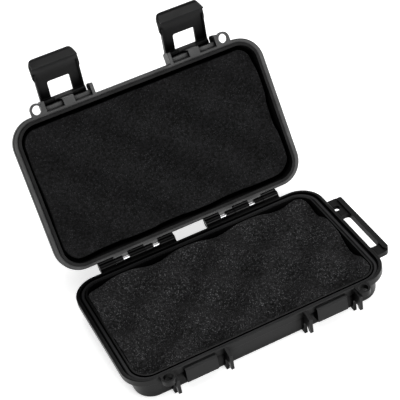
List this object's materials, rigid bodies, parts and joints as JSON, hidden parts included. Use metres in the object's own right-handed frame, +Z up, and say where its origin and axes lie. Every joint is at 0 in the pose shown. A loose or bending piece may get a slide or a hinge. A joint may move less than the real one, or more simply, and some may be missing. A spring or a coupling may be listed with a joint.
{
  "type": "hard case",
  "caption": "Small waterproof hard case with a hinged lid, egg-crate foam pads, a seal ring, hooked latches, padlock eyelets and a strap loop.",
  "frame": {"origin": "centre of the base's flat underside", "axes": "+X along the length towards the strap loop, +Y towards the hinges (the latches are on the -Y side), +Z up"},
  "size_m": [0.2228, 0.2252, 0.1664],
  "materials": {
    "shell": "satin",
    "latch": "satin",
    "seal": "matte",
    "foam": "matte",
    "pin": "polished"
  },
  "bodies": {
    "base": {"base_shell": "shell", "seal_ring": "seal", "base_foam": "foam", "hinge_pin_left": "pin", "hinge_pin_right": "pin"},
    "lid": {"lid_shell": "shell", "lid_foam": "foam", "latch_pin_left": "pin", "latch_pin_right": "pin"},
    "left_latch": {"latch_left": "latch"},
    "right_latch": {"latch_right": "latch"}
  },
  "joints": [
    {"name": "lid_hinge", "type": "hinge", "parent": "base", "child": "lid", "pos_m": [0, 0.0653, 0.0251], "axis": [-1, 0, 0], "range_deg": [-119.7, 0]},
    {"name": "left_latch_pivot", "type": "hinge", "parent": "lid", "child": "left_latch", "pos_m": [-0.0525, 0.14477, 0.13093], "axis": [-1, 0, 0], "range_deg": [-64.7, 85.3]},
    {"name": "right_latch_pivot", "type": "hinge", "parent": "lid", "child": "right_latch", "pos_m": [0.0525, 0.14477, 0.13093], "axis": [-1, 0, 0], "range_deg": [-60.1, 89.9]}
  ]
}
